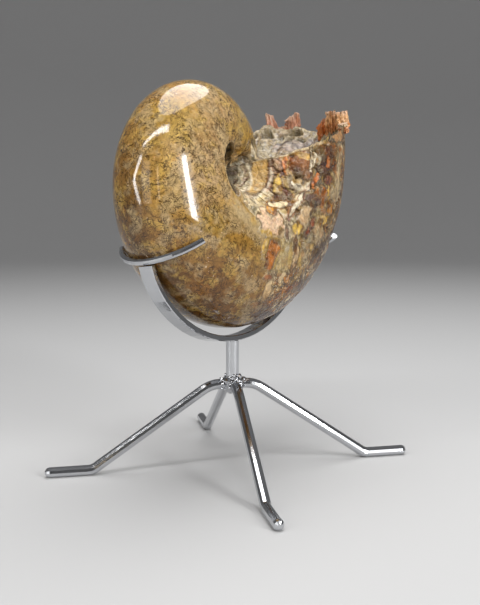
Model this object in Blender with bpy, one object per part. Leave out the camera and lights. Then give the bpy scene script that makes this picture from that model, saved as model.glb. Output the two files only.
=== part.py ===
"""A polished ammonite fossil resting in the cradle of a welded, chrome-plated steel stand.

Metres, +Z up.  The origin is on the floor, on the axis of the stand's post.  +Y points away from
a viewer who faces the polished flank, and +X points to that viewer's right.

The shell is a spiral sweep.  A place on it is given by a turn, in degrees from the small end, and
a side: 0 on the outer rim, +1 and -1 in the two umbilici (the hollows in the middle of the coil).
"""
import math
from math import cos, exp, pi, radians, sin, sqrt

import bmesh
import bpy
from mathutils import Vector, noise

# ------------------------------------------------------------------ the fossil's dimensions
COIL_CENTRE = Vector((-0.0177, 0.0032, 0.2258))  # on the coil's axis, midway between the flanks
DISC_TURN = radians(35.2)       # the coil's plane, turned from +Y towards +X
DISC_LEAN = radians(6.9)        # the coil's axis, lifted from level
END_TILT = radians(15.5)        # the broken end's plane, lifted from level
LAST_TURN = 360.0               # degrees of whorl from the small end to the broken end
END_RADIUS = 0.157              # coil axis to outer rim at the broken end
RADIUS_GROWTH = 1.126           # natural logarithm of the radius gained in the turn
RADIUS_SAG = 0.207              # how far mid-turn lies outside a true logarithmic spiral
END_HALF_BREADTH = 0.0695       # half the whorl's width at the broken end
BREADTH_GROWTH = 2.74           # width gained in the turn, as a factor
SECTION_MIDDLE = 0.394          # height of the widest place, as a share of the radius
SECTION_ROUNDING = 0.969        # 1 is an ellipse, less is squarer
SECTION_WRAP = 0.93 * pi        # how far the section closes round towards the coil's axis
UMBILICUS = 0.09                # the umbilicus' radius, as a share of the whorl's radius
UMBILICUS_FLOOR = 0.004         # depth left between the coil's middle plane and each floor
PINCH = 0.60                    # share by which the small end's inner flanks are narrowed
PINCH_SPAN = 40.0               # degrees over which that fades
PINCH_FROM = 0.38               # the side at which the narrowing sets in
PINCH_EDGE = 0.2                # how much further in it is complete

# The laid-open chambers
EXPOSED_FROM = 260.0            # turn at which they begin on the outer rim
EXPOSED_SWEEP = 34.0            # how much sooner they begin beside the umbilicus
EXPOSED_EDGE = 4.0              # length of the edge between polish and chambers
CHAMBER_PITCH = 14.0            # degrees from one septum to the next
FINGERS = 6                     # calcite fingers from the outer rim to the umbilicus
FINGER_STAGGER = 0.5            # how far the next chamber's fingers are shifted
SUTURE_SWING = 5.0              # how far the septum's edge swings to and fro, in degrees
CHAMBER_DEPTH = 0.0042          # from the polished surface to the bottom of the grooves
LEDGE_SHARE = 0.22              # the part of a chamber's length over which its ledge drops
PIT_DEPTH = 0.0022              # extra depth of the pits between broken crystals
FLUSH_SHARE = 0.35              # the relief's share of its depth where the chambers begin
FLUSH_SPAN = 50.0               # degrees over which it grows to its full depth
SHOULDER_AT = 0.3               # the side along which the visible flank turns out of sight
SHOULDER_SPAN = 0.15
SHOULDER_FILL = 0.7             # share of the relief that is filled with crystal there

# The broken end
RIM_LOBES = 5                   # lobes of the septum's edge on each side
RIM_LOBE_RISE = 0.9             # their height, in degrees of turn
RIM_ZONE = 16.0                 # degrees over which they grow out of the whorl
FAR_RIM_RISE = 4.6              # extra height of the hidden flank's rim, in degrees
FAR_RIM_SPAN = 0.42             # the share of that flank's side over which it rises
SEPTUM_DEPTH = 0.016            # how deep the last septum is dished
SEPTUM_HOLLOWS = 0.005          # extra depth of its lobes' hollows
HOLLOW_REACH = 0.45             # how far in from the rim the hollows go
SEPTUM_FADE = 2.5               # how sharply the dish ends towards the umbilici
SEPTUM_TUCK = 0.008             # how far its sides bulge outward beside the umbilici
RIM_RELIEF = 0.5                # share of the relief's depth that is left at the broken edge
RIM_RELIEF_SPAN = 9.0           # degrees over which it falls to that

# The fossil's faces
OPEN_STEPS = 34
POLISHED_STEPS = 28
SIDE_STEPS = 44
SEPTUM_STEPS = 6

# ------------------------------------------------------------------ the stand's dimensions
GAP = 0.0003                    # clearance between separate solids that touch
SLIVER = 0.00003                # edges shorter than this are merged after a Boolean
POST_RADIUS = 0.005
LEG_RADIUS = 0.004
ARM_RADIUS = 0.0025
HUB_HEIGHT = 0.065              # the height at which the legs meet the post
LEG_BEND_AT = 0.017             # from the post's axis to the upper bend
LEG_BEND_RADIUS = 0.024
FOOT_BEND_AT = 0.108            # from the post's axis to the bend at the floor
FOOT_BEND_RADIUS = 0.010
FOOT_REACH = 0.1435             # from the post's axis to the tip
LEG_SIDES = 12
FOOT_FLAT_ANGLE = pi / 6        # half the arc that is ground flat under the foot
FIRST_LEG = radians(12.4)       # the right leg, turned from +X towards +Y
LEG_NAMES = ("leg_right", "leg_back", "leg_left", "leg_front")

STRAP_WIDTH = 0.012
STRAP_THICKNESS = 0.0043
STRAP_CHAMFER = 0.0006
STRAP_STEPS = 26
STRAP_SAG = 0.0074              # the most that the strap stands off the fossil
SAG_FROM, SAG_TO = 202.6, 319.0  # the turns between which it does
SAG_RISE, SAG_FALL = 0.8, 2.4   # how bluntly it leaves the fossil and comes back to it
FRONT_ARM_AT = 201.4            # the turns at which the two cross arms hold the fossil
BACK_ARM_AT = 319.0
FRONT_ARM_BOW = 26.0            # how much lower the front arm's ends hang than its middle
FRONT_ARM_SIDE = 0.30           # how far round the flanks the arms reach
BACK_ARM_SIDE = 0.20
ARM_STEPS = 12
ARM_SIDES = 10

WELD_WIDTH = 0.0086
WELD_HEIGHT = 0.0078
WELD_LUMPS = 0.0007

IN_PLANE = Vector((sin(DISC_TURN), cos(DISC_TURN), 0.0))
LEVEL_AXIS = Vector((cos(DISC_TURN), -sin(DISC_TURN), 0.0))
UP = Vector((0.0, 0.0, 1.0))
AXIS = LEVEL_AXIS * cos(DISC_LEAN) + UP * sin(DISC_LEAN)
PLANE_UP = UP * cos(DISC_LEAN) - LEVEL_AXIS * sin(DISC_LEAN)


# ------------------------------------------------------------------ scene, materials, meshes
def clear_scene():
    for old in list(bpy.data.objects):
        bpy.data.objects.remove(old, do_unlink=True)


def new_material(name, colour, roughness, metallic=0.0):
    material = bpy.data.materials.new(name)
    material.use_nodes = True
    surface = material.node_tree.nodes["Principled BSDF"]
    surface.inputs["Base Color"].default_value = (*colour, 1.0)
    surface.inputs["Roughness"].default_value = roughness
    surface.inputs["Metallic"].default_value = metallic
    return material


def finish(bm, name, material, sharp=radians(40)):
    """Turn a bmesh into a named object, faces outward, with smooth shading between sharp edges."""
    bmesh.ops.recalc_face_normals(bm, faces=bm.faces)
    mesh = bpy.data.meshes.new(name)
    bm.to_mesh(mesh)
    bm.free()
    mesh.materials.append(material)
    mesh.shade_smooth()
    mesh.set_sharp_from_angle(angle=sharp)
    piece = bpy.data.objects.new(name, mesh)
    bpy.context.collection.objects.link(piece)
    return piece


def add_ring(bm, points):
    return [bm.verts.new(point) for point in points]


def skin(bm, ring, following, closed=True):
    """Faces between two rings of the same number of vertices."""
    count = len(ring)
    for index in range(count if closed else count - 1):
        after = (index + 1) % count
        bm.faces.new((ring[index], ring[after], following[after], following[index]))


def loft(sections):
    """A closed solid through the sections, with a flat cap at each end."""
    bm = bmesh.new()
    rings = [add_ring(bm, section) for section in sections]
    for ring, following in zip(rings, rings[1:]):
        skin(bm, ring, following)
    bm.faces.new(rings[0])
    bm.faces.new(rings[-1])
    return bm


def circle(centre, first, second, radius, sides):
    turns = (2 * pi * index / sides for index in range(sides))
    return [centre + (first * cos(turn) + second * sin(turn)) * radius for turn in turns]


def hidden_cutter(bm, name, material):
    cutter = finish(bm, name, material, sharp=radians(10))
    cutter.hide_render = True
    cutter.display_type = "WIRE"
    return cutter


def combine(piece, cutters, operation):
    """Join the cutters to the piece or cut them out of it, then merge the slivers that leaves."""
    for cutter in cutters:
        boolean = piece.modifiers.new(cutter.name, "BOOLEAN")
        boolean.operation = operation
        boolean.solver = "EXACT"
        boolean.object = cutter
    merge = piece.modifiers.new("merge_slivers", "WELD")
    merge.merge_threshold = SLIVER


def smooth_step(value):
    share = min(max(value, 0.0), 1.0)
    return share * share * (3 - 2 * share)


# ------------------------------------------------------------------ the shell's spiral
def radius_at(turn):
    share = turn / LAST_TURN - 1
    return END_RADIUS * exp(RADIUS_GROWTH * share - RADIUS_SAG * share * (share + 1))


def half_breadth_at(turn):
    return END_HALF_BREADTH * BREADTH_GROWTH ** (turn / LAST_TURN - 1)


def outward_at(turn):
    angle = END_TILT + radians(turn)
    return IN_PLANE * cos(angle) + PLANE_UP * sin(angle)


def forward_at(turn):
    angle = END_TILT + radians(turn)
    return PLANE_UP * cos(angle) - IN_PLANE * sin(angle)


def rounded(value):
    return math.copysign(abs(value) ** SECTION_ROUNDING, value)


def section_at(side):
    """The whorl's section: height as a share of the radius, width as a share of half the breadth."""
    angle = side * SECTION_WRAP
    reach = rounded(cos(angle))
    spread = 1 - SECTION_MIDDLE if reach > 0 else SECTION_MIDDLE - UMBILICUS
    return SECTION_MIDDLE + reach * spread, rounded(sin(angle))


def pinch_at(turn, side):
    """The small end's inner flanks are narrower, so that it stands inside the broken end."""
    inner = smooth_step((abs(side) - PINCH_FROM) / PINCH_EDGE)
    return 1 - PINCH * smooth_step(1 - turn / PINCH_SPAN) * inner


def shell_point(turn, side):
    height, width = section_at(side)
    width *= pinch_at(turn, side)
    out = outward_at(turn) * (radius_at(turn) * height)
    return COIL_CENTRE + out + AXIS * (half_breadth_at(turn) * width)


def shell_normal(turn, side):
    step_turn, step_side = 0.5, 0.005
    along = shell_point(turn + step_turn, side) - shell_point(turn - step_turn, side)
    across = shell_point(turn, side + step_side) - shell_point(turn, side - step_side)
    return along.cross(across).normalized()


# ------------------------------------------------------------------ the shell's relief
def exposure(turn, side):
    """0 on the polished shell, 1 where its chambers are laid open."""
    wander = 2.5 * noise.noise(Vector((side * 6.0, 0.0, 4.0)))
    begins = EXPOSED_FROM - EXPOSED_SWEEP * abs(side) ** 1.6 + wander
    return smooth_step((turn - begins) / EXPOSED_EDGE)


def chamber_depth(turn, side):
    """Depth below the polish: rows of calcite fingers, each row ending in a ledge."""
    swing = SUTURE_SWING * sin(2 * pi * FINGERS * abs(side) * 0.5) ** 2
    place = (turn - EXPOSED_FROM + swing) / CHAMBER_PITCH
    row = math.floor(place)
    along = place - row
    shift = FINGER_STAGGER * (row % 2)
    finger = abs(cos(pi * (FINGERS * abs(side) + shift)))
    slope = smooth_step((1 - along) / LEDGE_SHARE) * (0.55 + 0.45 * along)
    pillow = slope * (0.35 + 0.65 * sqrt(finger))
    crumble = noise.noise(Vector((turn * 0.17, side * 9.0, row * 3.1)))
    return CHAMBER_DEPTH * (1 - pillow) + PIT_DEPTH * max(0.0, crumble)


def rim_rise(turn, side):
    """Degrees by which the broken edge stands forward of its plane, in lobes."""
    near_end = smooth_step((turn - (LAST_TURN - RIM_ZONE)) / RIM_ZONE)
    lobe = RIM_LOBE_RISE * abs(sin(pi * RIM_LOBES * side))
    far = FAR_RIM_RISE * smooth_step(-side / FAR_RIM_SPAN)
    return near_end * (lobe + far) * (1 - abs(side) ** 6)


def relief_point(turn, side):
    place = turn + rim_rise(turn, side)
    depth = exposure(turn, side) * chamber_depth(turn, side)
    grown = smooth_step((turn - EXPOSED_FROM) / FLUSH_SPAN)
    depth *= (FLUSH_SHARE + (1 - FLUSH_SHARE) * grown) * (1 - abs(side) ** 8)
    depth *= 1 - SHOULDER_FILL * exp(-((side - SHOULDER_AT) / SHOULDER_SPAN) ** 2)
    depth *= 1 - (1 - RIM_RELIEF) * smooth_step(1 - (LAST_TURN - turn) / RIM_RELIEF_SPAN)
    return shell_point(place, side) - shell_normal(place, side) * depth


def septum_point(share, side):
    """The dished last septum, from the broken edge (0) in to where the smaller whorl passes (1)."""
    edge = relief_point(LAST_TURN, side)
    inner = shell_point(0.0, side)
    flat = edge.lerp(inner, share)
    lobe = abs(sin(pi * RIM_LOBES * side))
    hollow = SEPTUM_HOLLOWS * lobe * sin(pi * min(1.0, share / HOLLOW_REACH))
    dish = SEPTUM_DEPTH * sin(pi * share) ** 0.8 + max(0.0, hollow)
    tuck = SEPTUM_TUCK * sin(pi * share) * abs(side) ** 6 * (1 - abs(side) ** 16)
    flat += outward_at(LAST_TURN) * tuck
    return flat - forward_at(LAST_TURN) * dish * (1 - abs(side) ** SEPTUM_FADE)


def shell_turns():
    """The turns at which rings of vertices lie, closer together over the laid-open chambers."""
    first_open = EXPOSED_FROM - EXPOSED_SWEEP
    polished = [first_open * step / POLISHED_STEPS for step in range(POLISHED_STEPS)]
    span = LAST_TURN - first_open
    return polished + [first_open + span * step / OPEN_STEPS for step in range(OPEN_STEPS + 1)]


def build_shell(material):
    bm = bmesh.new()
    sides = [2 * step / SIDE_STEPS - 1 for step in range(SIDE_STEPS + 1)]
    rings = [add_ring(bm, [relief_point(turn, side) for side in sides]) for turn in shell_turns()]
    for step in range(1, SEPTUM_STEPS):
        share = step / SEPTUM_STEPS
        rings.append(add_ring(bm, [septum_point(share, side) for side in sides]))
    rings.append(rings[0])
    for ring, following in zip(rings, rings[1:]):
        skin(bm, ring, following, closed=False)
    for end, direction in ((0, -1), (-1, 1)):
        floor = bm.verts.new(COIL_CENTRE + AXIS * (direction * UMBILICUS_FLOOR))
        edge = [ring[end] for ring in rings]
        for vertex, after in zip(edge, edge[1:]):
            bm.faces.new((vertex, after, floor))
    return finish(bm, "ammonite", material, sharp=radians(28))


# ------------------------------------------------------------------ calcite on the broken rim
def crystal(material, name, side, inset, length, width, depth, lean, top, sides=5, sink=0.006):
    """A broken calcite crystal on the rim, with flat faces and a slanting top."""
    along = forward_at(LAST_TURN)
    place = shell_point(LAST_TURN, side) - shell_normal(LAST_TURN, side) * inset
    across = (shell_point(LAST_TURN, side + 0.01) - shell_point(LAST_TURN, side)).normalized()
    inwards = along.cross(across).normalized()
    grow = (along + across * lean).normalized()
    sections = []
    for share in (-sink / length, 0.0, 0.55, 1.0):
        size = 1.0 + (top - 1.0) * max(share, 0.0)
        centre = place + grow * (share * length)
        section = []
        for index in range(sides):
            angle = 2 * pi * (index + 0.3) / sides
            slant = 0.22 * width * cos(angle + 1.0) if share == 1.0 else 0.0
            offset = across * (cos(angle) * width * size) + inwards * (sin(angle) * depth * size)
            section.append(centre + offset + grow * slant)
        sections.append(section)
    return hidden_cutter(loft(sections), name, material)


def grow_crystals(shell, material):
    """Two leaning blades on the far rim, and a crest of blocks where the rim turns back.

    Each has its side, inset, length, width, depth, lean and top; the last stands beside the rim.
    """
    crystals = [
        ("blade_left", -0.150, 0.0045, 0.0185, 0.0040, 0.0040, -0.20, 0.62),
        ("blade_right", -0.082, 0.0045, 0.0150, 0.0058, 0.0042, 0.60, 0.95),
        ("crest_foot", 0.095, 0.0050, 0.0060, 0.0060, 0.0050, 0.40, 0.60),
        ("crest_broad", 0.245, -0.0008, 0.0120, 0.0066, 0.0060, 0.30, 0.90),
        ("crest_tall", 0.165, 0.0042, 0.0125, 0.0072, 0.0056, 0.50, 0.78),
        ("crest_side", 0.350, -0.0004, 0.0010, 0.0070, 0.0050, 0.10, 0.90, 5, 0.012),
    ]
    combine(shell, [crystal(material, *values) for values in crystals], "UNION")


# ------------------------------------------------------------------ the stand
def sag_shape(share):
    return max(0.0, share) ** SAG_RISE * max(0.0, 1 - share) ** SAG_FALL


def strap_stand_off(turn):
    """Clearance between the fossil and the inside of the strap, most where the strap is lowest."""
    share = max(0.0, (turn - SAG_FROM) / (SAG_TO - SAG_FROM))
    return GAP + STRAP_SAG * sag_shape(share) / sag_shape(SAG_RISE / (SAG_RISE + SAG_FALL))


def strap_middle(turn):
    out = radius_at(turn) + strap_stand_off(turn) + STRAP_THICKNESS / 2
    return COIL_CENTRE + outward_at(turn) * out


def strap_turns():
    """From just past the front arm to just short of the back arm."""
    clearance = ARM_RADIUS + GAP
    first = FRONT_ARM_AT + math.degrees(clearance / radius_at(FRONT_ARM_AT))
    last = BACK_ARM_AT - math.degrees(clearance / radius_at(BACK_ARM_AT))
    return [first + (last - first) * step / STRAP_STEPS for step in range(STRAP_STEPS + 1)]


def strap_outward(turn):
    """The direction square to the strap's curve, away from the fossil."""
    along = (strap_middle(turn + 0.5) - strap_middle(turn - 0.5)).normalized()
    out = along.cross(AXIS).normalized()
    return out if out.dot(outward_at(turn)) > 0 else -out


def strap_section(turn):
    """A flat bar's section with broken edges, square to the strap's own curve."""
    middle, out = strap_middle(turn), strap_outward(turn)
    wide, thick, cut = STRAP_WIDTH / 2, STRAP_THICKNESS / 2, STRAP_CHAMFER
    corners = ((wide - cut, thick), (wide, thick - cut), (wide, cut - thick), (wide - cut, -thick),
               (cut - wide, -thick), (-wide, cut - thick), (-wide, thick - cut), (cut - wide, thick))
    return [middle + AXIS * across + out * up for across, up in corners]


def build_strap(material):
    bm = loft([strap_section(turn) for turn in strap_turns()])
    return finish(bm, "cradle_strap", material, sharp=radians(30))


def build_arm(name, turn, reach, material, bow=0.0):
    """A round rod bent to the fossil's section, square-cut at both ends."""
    lift = GAP + ARM_RADIUS

    def middle(side):
        place = turn + bow * side ** 2
        return shell_point(place, side) + shell_normal(place, side) * lift

    sections = []
    for step in range(ARM_STEPS + 1):
        side = reach * (2 * step / ARM_STEPS - 1)
        along = (middle(side + 0.005) - middle(side - 0.005)).normalized()
        out = shell_normal(turn, side)
        sections.append(circle(middle(side), out, along.cross(out), ARM_RADIUS, ARM_SIDES))
    return finish(loft(sections), name, material, sharp=radians(50))


def turn_over_post():
    """The turn at which the strap crosses the post's axis."""
    first, last = FRONT_ARM_AT, BACK_ARM_AT
    turns = [first + (last - first) * step / 1000 for step in range(1001)]
    return min(turns, key=lambda turn: strap_middle(turn).xy.length)


def build_post(material, sides=20):
    """A round bar from the legs' underside up to the strap, its top cut to the strap's slope."""
    foot = Vector((0.0, 0.0, HUB_HEIGHT - LEG_RADIUS))
    x_axis, y_axis = Vector((1.0, 0.0, 0.0)), Vector((0.0, 1.0, 0.0))
    bottom = circle(foot, x_axis, y_axis, POST_RADIUS, sides)
    turn = turn_over_post()
    out = strap_outward(turn)
    under = strap_middle(turn) + out * (STRAP_THICKNESS / 2 + GAP)
    top = []
    for point in bottom:
        drop = out.xy.dot(point.xy - under.xy) / out.z
        top.append(Vector((point.x, point.y, under.z - drop)))
    return finish(loft([bottom, top]), "post", material, sharp=radians(50))


def rounded_route(corners, radii, steps):
    """Points along straight runs joined by arcs, for a route in one plane."""
    route = [corners[0]]
    for before, corner, after, radius in zip(corners, corners[1:], corners[2:], radii):
        to_before = (before - corner).normalized()
        to_after = (after - corner).normalized()
        half = to_before.angle(to_after) / 2
        bisector = (to_before + to_after).normalized()
        centre = corner + bisector * (radius / sin(half))
        first = (corner + to_before * (radius / math.tan(half)) - centre).normalized()
        last = (corner + to_after * (radius / math.tan(half)) - centre).normalized()
        route += [centre + first.slerp(last, step / steps) * radius for step in range(steps + 1)]
    return route + [corners[-1]]


def build_leg_mesh(material):
    """A leg along +X: level out of the hub, down to the floor, then a foot lying flat."""
    foot_height = LEG_RADIUS * cos(FOOT_FLAT_ANGLE)
    tip_dome = LEG_RADIUS * 0.9
    corners = [Vector((POST_RADIUS + GAP, 0.0, HUB_HEIGHT)), Vector((LEG_BEND_AT, 0.0, HUB_HEIGHT)),
               Vector((FOOT_BEND_AT, 0.0, foot_height)),
               Vector((FOOT_REACH - tip_dome, 0.0, foot_height))]
    route = rounded_route(corners, (LEG_BEND_RADIUS, FOOT_BEND_RADIUS), steps=4)
    across = Vector((0.0, 1.0, 0.0))
    sections = []
    for index, point in enumerate(route):
        before, after = route[max(index - 1, 0)], route[min(index + 1, len(route) - 1)]
        upward = (after - before).normalized().cross(across)
        sections.append(circle(point, across, upward, LEG_RADIUS, LEG_SIDES))
    for turn in (radians(35), radians(68)):
        centre = corners[-1] + Vector((tip_dome * sin(turn), 0.0, 0.0))
        sections.append(circle(centre, across, UP, LEG_RADIUS * cos(turn), LEG_SIDES))
    for section in sections:
        for point in section:
            point.z = max(point.z, 0.0)
    return finish(loft(sections), LEG_NAMES[0], material, sharp=radians(50))


def build_legs(material):
    """Four alike, a quarter turn apart."""
    first = build_leg_mesh(material)
    legs = [first]
    for name in LEG_NAMES[1:]:
        leg = bpy.data.objects.new(name, first.data)
        bpy.context.collection.objects.link(leg)
        legs.append(leg)
    for index, leg in enumerate(legs):
        leg.rotation_euler.z = FIRST_LEG + index * pi / 2
    return legs


def build_weld(material, around=14, up=8):
    """The lump of weld metal that joins the four legs to the foot of the post."""
    bm = bmesh.new()
    bmesh.ops.create_uvsphere(bm, u_segments=around, v_segments=up, radius=1.0)
    for vertex in bm.verts:
        lump = 1 + WELD_LUMPS / WELD_WIDTH * 2 * noise.noise(vertex.co * 2.3)
        vertex.co.x *= WELD_WIDTH * lump
        vertex.co.y *= WELD_WIDTH * lump
        vertex.co.z = vertex.co.z * WELD_HEIGHT * lump + HUB_HEIGHT
    weld = finish(bm, "hub_weld", material, sharp=radians(50))

    x_axis, y_axis = Vector((1.0, 0.0, 0.0)), Vector((0.0, 1.0, 0.0))
    foot = Vector((0.0, 0.0, HUB_HEIGHT - LEG_RADIUS - GAP))
    top = Vector((0.0, 0.0, HUB_HEIGHT + 2 * WELD_HEIGHT))
    grown = POST_RADIUS + GAP
    sockets = [hidden_cutter(loft([circle(end, x_axis, y_axis, grown, 20) for end in (foot, top)]),
                             "post_socket", material)]
    for index in range(len(LEG_NAMES)):
        turn = FIRST_LEG + index * pi / 2
        along = Vector((cos(turn), sin(turn), 0.0))
        ends = (Vector((0.0, 0.0, HUB_HEIGHT)) + along * reach for reach in (0.001, 0.03))
        rings = [circle(end, UP, UP.cross(along), LEG_RADIUS + GAP, LEG_SIDES) for end in ends]
        sockets.append(hidden_cutter(loft(rings), f"leg_socket_{index}", material))
    combine(weld, sockets, "DIFFERENCE")
    return weld


def main():
    clear_scene()
    stone = new_material("fossil_stone", (0.40, 0.26, 0.10), 0.12)
    calcite = new_material("calcite", (0.42, 0.16, 0.05), 0.20)
    chrome = new_material("chromed_steel", (0.62, 0.62, 0.64), 0.06, metallic=1.0)
    grow_crystals(build_shell(stone), calcite)
    build_post(chrome)
    build_weld(chrome)
    build_legs(chrome)
    build_strap(chrome)
    build_arm("arm_front", FRONT_ARM_AT, FRONT_ARM_SIDE, chrome, FRONT_ARM_BOW)
    build_arm("arm_back", BACK_ARM_AT, BACK_ARM_SIDE, chrome)


main()
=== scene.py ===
"""A polished ammonite fossil in its chromed stand: fine relief, materials, light and camera.

Metres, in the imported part's frame.  The shell is the same spiral sweep as the part's solid.  A
place on it is a turn, in degrees from the small end, and a side: 0 on the outer rim, +1 and -1 in
the two umbilici, and more than 0 on the flank that faces the viewer.
"""
from math import atan2, cos, degrees, pi, radians, sin

import bmesh
import bpy
import numpy as np
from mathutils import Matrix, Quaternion, Vector, noise


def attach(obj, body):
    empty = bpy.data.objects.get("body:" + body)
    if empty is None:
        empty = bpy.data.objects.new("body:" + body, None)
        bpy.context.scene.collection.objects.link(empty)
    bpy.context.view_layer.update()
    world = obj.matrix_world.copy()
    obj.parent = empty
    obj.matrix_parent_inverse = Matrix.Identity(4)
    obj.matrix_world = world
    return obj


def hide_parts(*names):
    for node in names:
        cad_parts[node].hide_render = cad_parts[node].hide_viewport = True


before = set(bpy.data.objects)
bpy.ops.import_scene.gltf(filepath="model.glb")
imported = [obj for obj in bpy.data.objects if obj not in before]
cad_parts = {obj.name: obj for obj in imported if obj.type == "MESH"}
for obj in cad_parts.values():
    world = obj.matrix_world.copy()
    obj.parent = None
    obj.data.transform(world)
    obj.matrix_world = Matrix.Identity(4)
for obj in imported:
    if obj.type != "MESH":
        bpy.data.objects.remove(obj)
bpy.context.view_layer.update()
BODY = "root"
MM = 0.001

# ---------------- the fossil's dimensions
COIL_CENTRE = np.array((-0.0177, 0.0032, 0.2258))
DISC_TURN = radians(35.2)
DISC_LEAN = radians(6.9)
END_TILT = 15.5
LAST_TURN = 360.0
END_RADIUS = 0.157
RADIUS_GROWTH = 1.126
RADIUS_SAG = 0.207
END_HALF_BREADTH = 0.0695
BREADTH_GROWTH = 2.74
SECTION_MIDDLE = 0.394
SECTION_ROUNDING = 0.969
SECTION_WRAP = 0.93 * pi
UMBILICUS = 0.09
UMBILICUS_FLOOR = 0.0015
PINCH = 0.6  # the small end is narrower, inside the broken end
PINCH_SPAN = 40.0
PINCH_FROM = 0.38
PINCH_EDGE = 0.2

UP = np.array((0.0, 0.0, 1.0))
IN_PLANE = np.array((sin(DISC_TURN), cos(DISC_TURN), 0.0))
LEVEL_AXIS = np.array((cos(DISC_TURN), -sin(DISC_TURN), 0.0))
AXIS = LEVEL_AXIS * cos(DISC_LEAN) + UP * sin(DISC_LEAN)
PLANE_UP = UP * cos(DISC_LEAN) - LEVEL_AXIS * sin(DISC_LEAN)

# The laid-open chambers
EXPOSED_FROM = 260.0
EXPOSED_SWEEP = 34.0
EXPOSED_EDGE = 4.0
EARLY_OPENING = 32.0  # they are open earlier beside the near umbilicus
EARLY_SIDE = 0.555
CHAMBER_PITCH = 14.0
FINGERS = 6
FINGER_STAGGER = 0.5
SUTURE_SWING = 5.0
CHAMBER_DEPTH = 0.0042
LEDGE_SHARE = 0.22
PIT_DEPTH = 0.0022
FLUSH_SHARE = 0.35  # shallow at first, then deeper
FLUSH_SPAN = 50.0
SHOULDER_AT = 0.3  # and shallow along the shoulder and at the broken rim
SHOULDER_SPAN = 0.15
SHOULDER_FILL = 0.7
RIM_RELIEF = 0.5
RIM_RELIEF_SPAN = 9.0

# The broken end: its rim rises and dips, in degrees of turn, and the septum is dished
RIM_ZONE = 16.0
RIM_LOBES = 5
RIM_LOBE_RISE = 0.9
FAR_RIM_RISE = 4.6
FAR_RIM_SPAN = 0.42
RIM_DIPS = (  # how deep, at which side, over how much of it
    (3.2, 0.085, 0.075), (2.2, 0.8, 0.05), (-0.9, -0.168, 0.036),
)
SEPTUM_DEPTH = 0.016
SEPTUM_FADE = 2.5
SEPTUM_TUCK = 0.008
LAYER_SLOPE = 0.47  # its layers run a little downhill, so many to its depth
LAYERS = 21

# The small end's polish stops at a slant
SMALL_END = 12.0
SMALL_END_SWEEP = 130.0
SMALL_END_EDGE = 0.452
SMALL_END_OUTER = 29.0

# The dark slot beside the near umbilicus, and the streaked stone round both
SLOT_AT = 183.0
SLOT_EDGE = 0.552
SLOT_LIP = 0.016
SLOT_DEPTH = 0.003
STREAKS_FROM = 0.945
STREAKS_SPREAD = 0.001
STREAKS_DEPTH = 0.0012
STREAKS_LINE = 0.006
STREAKS_LINE_RISE = 0.0008

# ---------------- how finely things are made
POLISHED_ROWS = 56
OPEN_ROWS = 240
OPEN_ROWS_EARLY = 24  # they start this much before the chambers
SEPTUM_ROWS = 58
SEPTUM_CROWDING = 1.8  # how much closer the septum's rows lie near its rim
FAR_COLUMNS = 44
FAR_RIM_COLUMNS = 50
FAR_RIM_REACH = 0.3
NEAR_COLUMNS = 170
UMBILICUS_COLUMNS = 3
STEEPEST = 2.2  # the least width of a feature's bank, millimetres
THINNEST = 1.0  # half the thinnest line that the mesh can carry, millimetres

CELL, FACET = 0.0058, 0.0024  # the sizes of the crystals that are only colour

CRYSTAL_SIDES = 36
CRYSTAL_STEPS = 14
CRYSTAL_FACES = 5
CRYSTAL_SINK = 0.0035

HUB_HEIGHT = 0.065
LEGS = 4
FIRST_LEG = radians(12.4)
POST_BEADS, POST_BEADS_AT, POST_BEADS_RISE = 9, 0.0056, 0.0066
LEG_BEADS, LEG_BEADS_AT, LEG_BEADS_OUT = 7, 0.0042, 0.0088
LEG_BEADS_REACH = 115  # degrees to each side of the top of a leg
BEAD_RADIUS = 0.0011

# ---------------- the studio's dimensions
LIT_FROM = (-0.02, -0.06, 0.22)  # the place that the lights are aimed at
ARC_LAMPS = 10
ARC_LENGTH = 1.6
FLOOR_SIDES = 96
FLOOR_MIDDLE = 0.5
FLOOR_RADIUS = 2.0
COVE_RADIUS = 1.6
COVE_STEPS = 12
WALL_HEIGHT = 2.6
FLOOR_GAP = 0.0004  # the feet stand this much clear of the floor
CAMERA_AT = (0.0058, -0.697, 0.2167)
CAMERA_TARGET = (0.0058, 0.0, 0.1278)
LENS, SENSOR = 54.8, 36.0

# ---------------- shades and colours, linear
STONE_SHADE = (0.88, 0.86, 0.8)  # the whole stone, under this studio's light
DOWNWARD_PAINTED_SHADE = (0.74, 0.57, 0.36)  # and painted shade where it faces down
RIGHTWARD_PAINTED_SHADE = (0.72, 0.68, 0.6)  # and painted shade where it faces right
SEPTUM_SHADE = 0.58  # the septum is duller than the flanks,
SEPTUM_PLAIN = 0.85  # and has few crystals
FAR_BRIGHTER = 0.45  # the far flank's crystals, which stand in poorer light
VIVID = 1.5  # how much brighter a crystal is in its bright parts, which are partly painted light,
BRIGHTEST = 0.85
DEPTHS = np.array((0.3, 0.2, 0.14))  # how dark it is in its depths,
OPAQUE = 0.4  # how much of that a pale crystal shows,
SHADOWED = 0.22  # and how far painted shade moves its depths to the side away from the lamps
# the side of each crystal that is given painted shade
SHADOW_SIDE = LEVEL_AXIS * 0.75 - PLANE_UP * 0.66

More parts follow.
